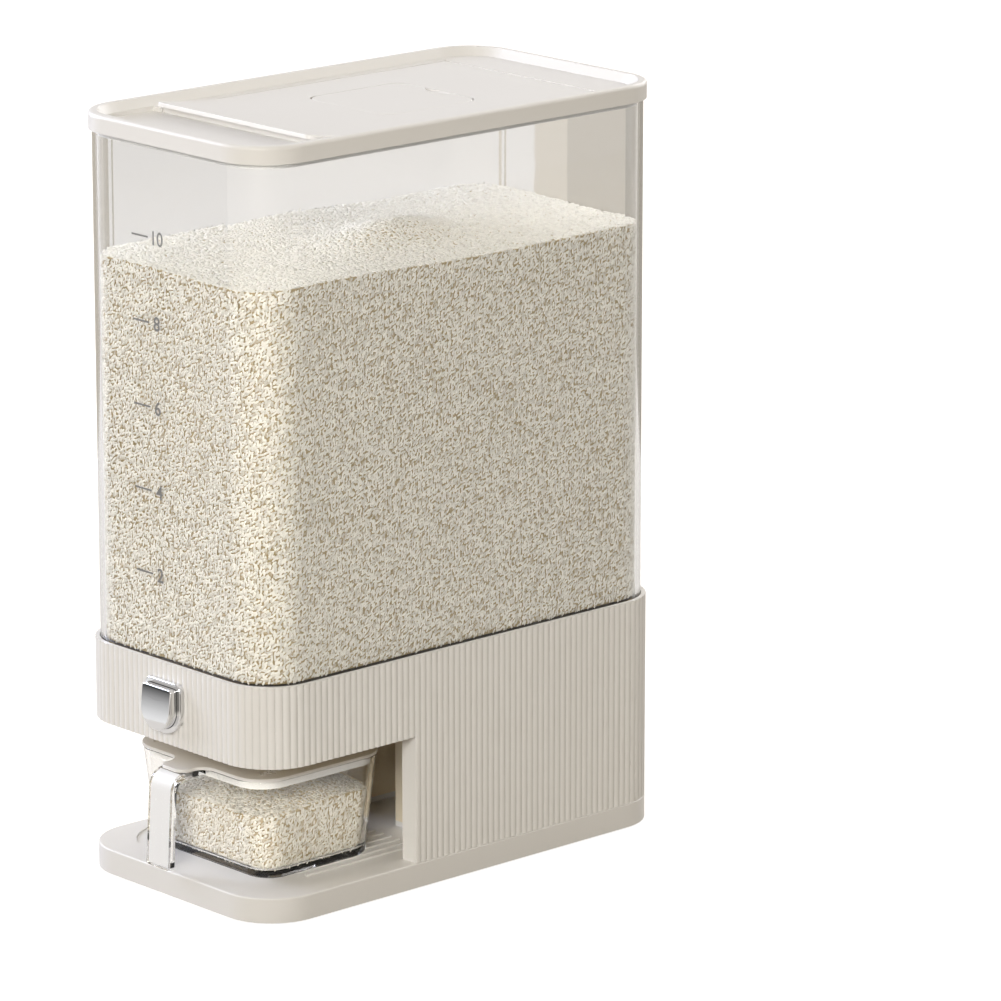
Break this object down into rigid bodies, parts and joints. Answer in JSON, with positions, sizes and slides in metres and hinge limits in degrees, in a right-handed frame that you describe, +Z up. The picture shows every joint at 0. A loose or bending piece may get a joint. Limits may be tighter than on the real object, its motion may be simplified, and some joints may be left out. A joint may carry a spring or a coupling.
{
  "type": "rice dispenser",
  "caption": "Countertop rice dispenser: clear hopper with a hinged fill flap on a reeded housing, push button and slide shutter over a bay with a measuring cup and strainer lid.",
  "frame": {"origin": "on the counter, under the middle of the housing's outline", "axes": "+Z up, +X to the right seen from the front, -Y to the front, where the button and the cup handle are"},
  "size_m": [0.1724, 0.3251, 0.4505],
  "materials": {
    "off_white_plastic": "warm off-white, satin",
    "clear_plastic": "clear, polished",
    "chrome_plate": "plated, bright",
    "silicone_seal": "soft, matt",
    "rubber_pad": "matt",
    "steel_fastener": "plain",
    "white_inlay": "white, glossy"
  },
  "bodies": {
    "root": {"base_tray": "off_white_plastic", "base_plate": "off_white_plastic", "rubber_pads": "rubber_pad", "base_screws": "steel_fastener", "inner_frame": "off_white_plastic", "bay_liner": "off_white_plastic", "fluted_shell": "off_white_plastic", "funnel": "off_white_plastic", "funnel_seal": "silicone_seal", "hopper": "clear_plastic", "button_bezel": "chrome_plate", "return_spring": "steel_fastener"},
    "lid": {"lid_frame": "off_white_plastic", "lid_seal": "silicone_seal", "hinge_pins": "steel_fastener"},
    "flap": {"lid_flap": "off_white_plastic", "flap_seal": "silicone_seal", "desiccant_basket": "off_white_plastic"},
    "cover": {"desiccant_cover": "off_white_plastic"},
    "button": {"push_button": "chrome_plate", "shutter": "off_white_plastic", "button_screw": "steel_fastener"},
    "cup": {"measuring_cup": "clear_plastic", "handle_inlay": "white_inlay"},
    "strainer": {"strainer_lid": "off_white_plastic"}
  },
  "joints": [
    {"name": "lid_lift", "type": "slide", "parent": "root", "child": "lid", "axis": [0, 0, 1], "range_m": [0, 0.03]},
    {"name": "flap_hinge", "type": "hinge", "parent": "lid", "child": "flap", "pos_m": [0, 0.117, 0.4432], "axis": [-1, 0, 0], "range_deg": [0, 95]},
    {"name": "cover_lift", "type": "slide", "parent": "flap", "child": "cover", "axis": [0, 0, 1], "range_m": [0, 0.02]},
    {"name": "button_press", "type": "slide", "parent": "root", "child": "button", "axis": [0, 1, 0], "range_m": [0, 0.01], "stiffness_N_per_m": 150, "springref_m": -0.01, "deforming": ["return_spring"]},
    {"name": "cup_slide", "type": "slide", "parent": "root", "child": "cup", "axis": [0, -1, 0], "range_m": [0, 0.13]},
    {"name": "strainer_lift", "type": "slide", "parent": "cup", "child": "strainer", "axis": [0, 0, 1], "range_m": [0, 0.011]}
  ]
}
